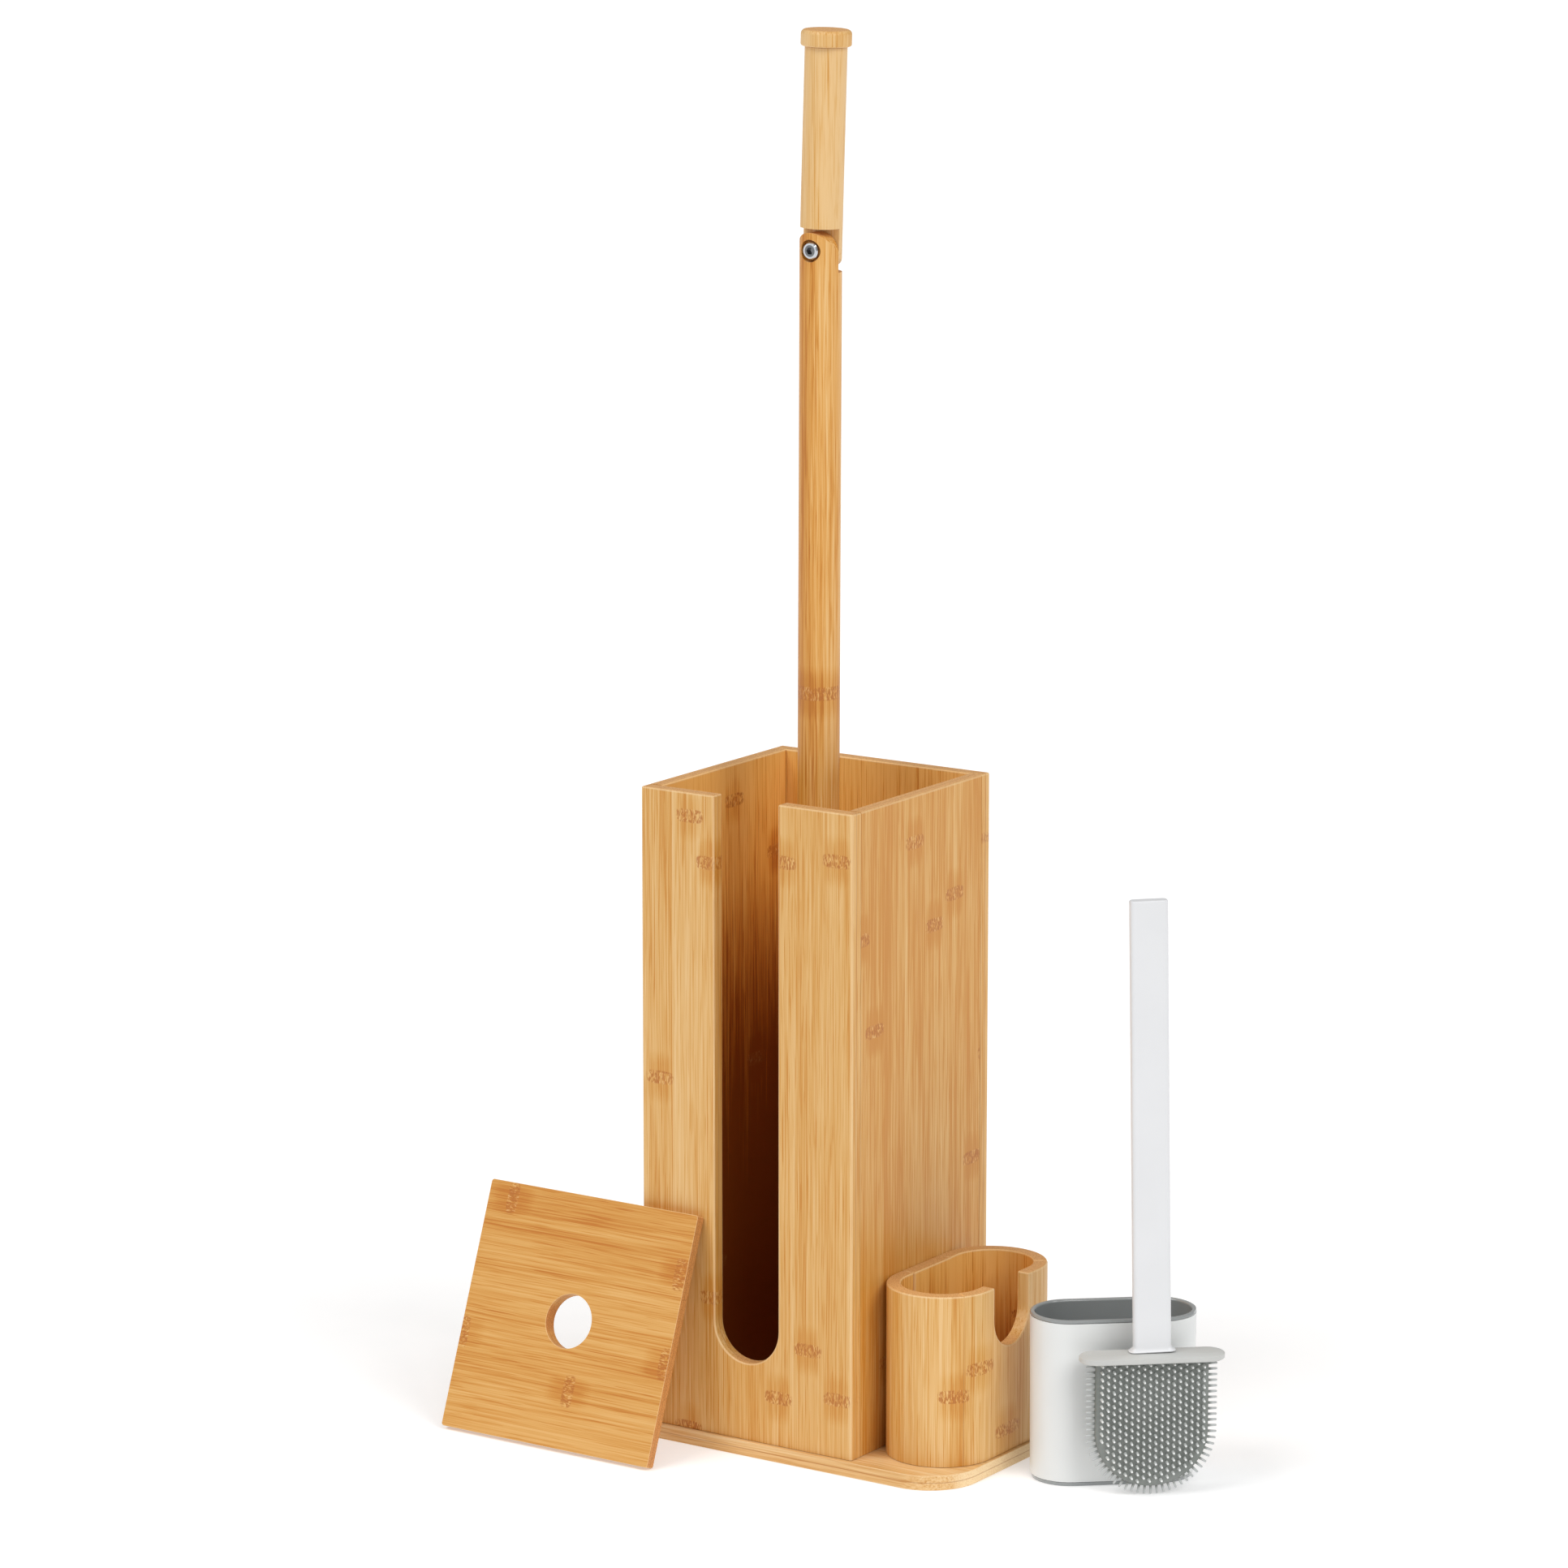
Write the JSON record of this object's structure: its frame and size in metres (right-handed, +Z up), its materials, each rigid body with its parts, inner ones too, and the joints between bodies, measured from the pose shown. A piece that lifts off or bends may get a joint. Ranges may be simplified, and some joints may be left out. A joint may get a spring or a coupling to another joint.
{
  "type": "toilet brush holder",
  "caption": "Bamboo bathroom stand: slotted square roll tower, pole with folding roll arm, brush cup with plastic insert, silicone brush and loose square lid.",
  "frame": {"origin": "Middle of the base plate's underside, on the floor plane", "axes": "+X toward the brush cup, -Y the slotted face of the tower, +Z up"},
  "size_m": [0.4572, 0.2138, 0.8459],
  "materials": {
    "bamboo_light": "light honey bamboo, satin lacquer, upright grain",
    "bamboo_pole": "darker orange bamboo, satin lacquer",
    "bamboo_lid": "warm orange bamboo, satin lacquer",
    "chrome": "bright plated steel",
    "zinc": "dull plated steel",
    "white_plastic": "white plastic, soft sheen",
    "grey_plastic": "mid grey plastic, glossy",
    "grey_collar": "light grey plastic, soft sheen",
    "grey_silicone": "grey silicone, soft sheen"
  },
  "bodies": {
    "stand": {"base_plate": "bamboo_light", "tower_front_panel": "bamboo_light", "tower_back_panel": "bamboo_light", "tower_left_panel": "bamboo_light", "tower_right_panel": "bamboo_light", "cup_front_end": "bamboo_light", "cup_rear_end": "bamboo_light", "cup_outer_wall": "bamboo_light", "cup_inner_wall": "bamboo_light", "pole": "bamboo_pole", "pole_screw": "zinc", "tower_screw_1": "zinc", "tower_screw_2": "zinc", "tower_screw_3": "zinc", "tower_screw_4": "zinc", "tower_screw_5": "zinc", "tower_screw_6": "zinc", "cup_screw_1": "zinc", "cup_screw_2": "zinc", "cup_screw_3": "zinc", "cup_screw_4": "zinc", "pivot_bolt": "chrome", "pivot_washer": "zinc", "pivot_nut": "chrome"},
    "arm": {"holder_arm": "bamboo_pole", "arm_cap": "bamboo_lid", "cap_dowel": "bamboo_light"},
    "lid": {"lid_panel": "bamboo_lid"},
    "insert": {"insert_shell": "white_plastic", "insert_liner": "grey_plastic", "insert_foot_ring": "grey_plastic"},
    "brush": {"brush_handle": "white_plastic", "brush_flange": "grey_collar", "brush_head": "grey_silicone"}
  },
  "joints": [
    {"name": "arm_fold", "type": "hinge", "parent": "stand", "child": "arm", "pos_m": [-0.03003, 0, 0.717], "axis": [0, 1, 0], "range_deg": [-91.5, 88.5]},
    {"name": "lid_lift", "type": "slide", "parent": "stand", "child": "lid", "axis": [0, -0.9342, 0.3567], "range_m": [0, 0.12]},
    {"name": "insert_lift", "type": "slide", "parent": "stand", "child": "insert", "axis": [0, 0, 1], "range_m": [0, 0.15]},
    {"name": "brush_lift", "type": "slide", "parent": "stand", "child": "brush", "axis": [0, 0, 1], "range_m": [0, 0.15]}
  ]
}
